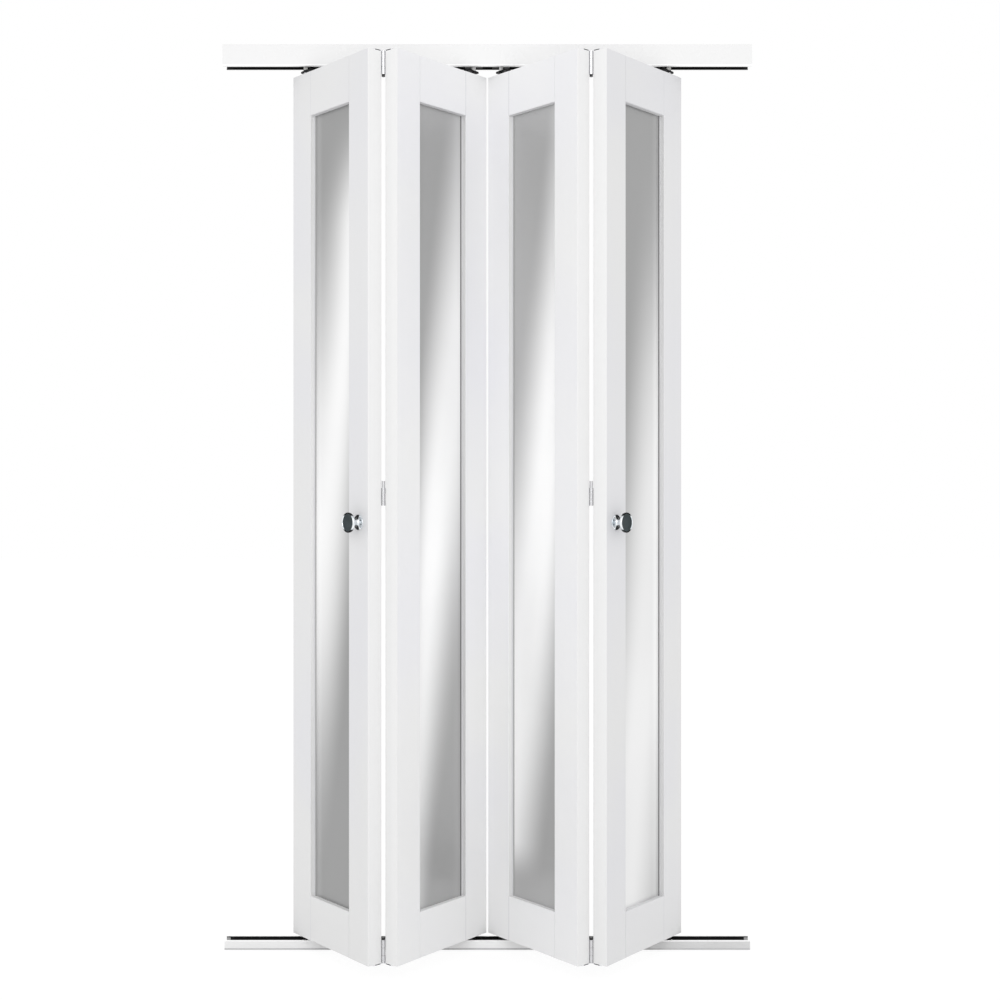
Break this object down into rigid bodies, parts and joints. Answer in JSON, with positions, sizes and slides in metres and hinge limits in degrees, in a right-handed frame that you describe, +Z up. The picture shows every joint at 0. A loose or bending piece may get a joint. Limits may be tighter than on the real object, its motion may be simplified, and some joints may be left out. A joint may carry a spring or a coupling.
{
  "type": "bifold closet door",
  "caption": "Bifold closet door: hinged pairs of mirrored leaves on pivots and guide rollers between a top track with a fascia and a floor track, with round pull knobs.",
  "frame": {"origin": "on the floor, at the middle of the bottom track's underside, on the line that the pivot and guide pins share", "axes": "+Z up, +X along the tracks to the right as seen from the room, +Y into the closet; the room is on the -Y side"},
  "size_m": [1.203, 0.2546, 2.06],
  "materials": {
    "leaf_white": "white satin laminate over fibreboard",
    "mirror": "clear silvered glass",
    "backing_board": "white-faced hardboard",
    "hinge_steel": "white-coated steel",
    "hinge_pin_black": "black oxide",
    "strap_black": "black powder coat",
    "pin_steel": "zinc plated, turned",
    "nylon_white": "moulded nylon",
    "knob_chrome": "polished chrome",
    "knob_dark": "polished black nickel",
    "track_black": "black anodised extrusion",
    "track_white": "white powder coat",
    "liner_black": "black plastic",
    "fascia_white": "white powder coat"
  },
  "bodies": {
    "tracks": {"top_track": "track_black", "bottom_track": "track_white", "bottom_track_liner": "liner_black", "fascia": "fascia_white", "top_pivot_sockets": "liner_black", "bottom_pivot_sockets": "liner_black"},
    "inner_left_leaf": {"inner_left_hinge_stile": "leaf_white", "inner_left_end_stile": "leaf_white", "inner_left_top_rail": "leaf_white", "inner_left_bottom_rail": "leaf_white", "inner_left_mirror": "mirror", "inner_left_backing_board": "backing_board", "inner_left_hinge_plates": "hinge_steel", "inner_left_strap_bracket": "strap_black", "inner_left_pivot_pins": "nylon_white", "left_hinge_pins": "hinge_pin_black"},
    "outer_left_leaf": {"outer_left_hinge_stile": "leaf_white", "outer_left_end_stile": "leaf_white", "outer_left_top_rail": "leaf_white", "outer_left_bottom_rail": "leaf_white", "outer_left_mirror": "mirror", "outer_left_backing_board": "backing_board", "outer_left_hinge_plates": "hinge_steel", "outer_left_strap_bracket": "strap_black", "outer_left_guide_pins": "pin_steel", "outer_left_knob_stem": "knob_chrome", "outer_left_knob_head": "knob_dark"},
    "left_top_roller": {"outer_left_top_roller": "nylon_white"},
    "left_bottom_roller": {"outer_left_bottom_roller": "nylon_white"},
    "inner_right_leaf": {"inner_right_hinge_stile": "leaf_white", "inner_right_end_stile": "leaf_white", "inner_right_top_rail": "leaf_white", "inner_right_bottom_rail": "leaf_white", "inner_right_mirror": "mirror", "inner_right_backing_board": "backing_board", "inner_right_hinge_plates": "hinge_steel", "inner_right_strap_bracket": "strap_black", "inner_right_pivot_pins": "nylon_white", "right_hinge_pins": "hinge_pin_black"},
    "outer_right_leaf": {"outer_right_hinge_stile": "leaf_white", "outer_right_end_stile": "leaf_white", "outer_right_top_rail": "leaf_white", "outer_right_bottom_rail": "leaf_white", "outer_right_mirror": "mirror", "outer_right_backing_board": "backing_board", "outer_right_hinge_plates": "hinge_steel", "outer_right_strap_bracket": "strap_black", "outer_right_guide_pins": "pin_steel", "outer_right_knob_stem": "knob_chrome", "outer_right_knob_head": "knob_dark"},
    "right_top_roller": {"outer_right_top_roller": "nylon_white"},
    "right_bottom_roller": {"outer_right_bottom_roller": "nylon_white"}
  },
  "joints": [
    {"name": "left_pivot", "type": "hinge", "parent": "tracks", "child": "inner_left_leaf", "pos_m": [-0.03122, 0, 1.012], "axis": [0, 0, 1], "range_deg": [-49.46, 36.54]},
    {"name": "left_fold", "type": "hinge", "parent": "inner_left_leaf", "child": "outer_left_leaf", "pos_m": [-0.22337, -0.19159, 1.012], "axis": [0, 0, 1], "range_deg": [-73.08, 98.92]},
    {"name": "left_top_roller_spin", "type": "hinge", "parent": "outer_left_leaf", "child": "left_top_roller", "pos_m": [-0.41553, 0, 2.028], "axis": [0, 0, 1], "continuous": true},
    {"name": "left_bottom_roller_spin", "type": "hinge", "parent": "outer_left_leaf", "child": "left_bottom_roller", "pos_m": [-0.41553, 0, 0.0117], "axis": [0, 0, 1], "continuous": true},
    {"name": "right_pivot", "type": "hinge", "parent": "tracks", "child": "inner_right_leaf", "pos_m": [0.03122, 0, 1.012], "axis": [0, 0, -1], "range_deg": [-49.46, 36.54]},
    {"name": "right_fold", "type": "hinge", "parent": "inner_right_leaf", "child": "outer_right_leaf", "pos_m": [0.22337, -0.19159, 1.012], "axis": [0, 0, -1], "range_deg": [-73.08, 98.92]},
    {"name": "right_top_roller_spin", "type": "hinge", "parent": "outer_right_leaf", "child": "right_top_roller", "pos_m": [0.41553, 0, 2.028], "axis": [0, 0, 1], "continuous": true},
    {"name": "right_bottom_roller_spin", "type": "hinge", "parent": "outer_right_leaf", "child": "right_bottom_roller", "pos_m": [0.41553, 0, 0.0117], "axis": [0, 0, 1], "continuous": true}
  ],
  "couplings": [
    {"joint": "left_fold", "follows": "left_pivot", "ratio": -2},
    {"joint": "right_fold", "follows": "right_pivot", "ratio": -2}
  ]
}
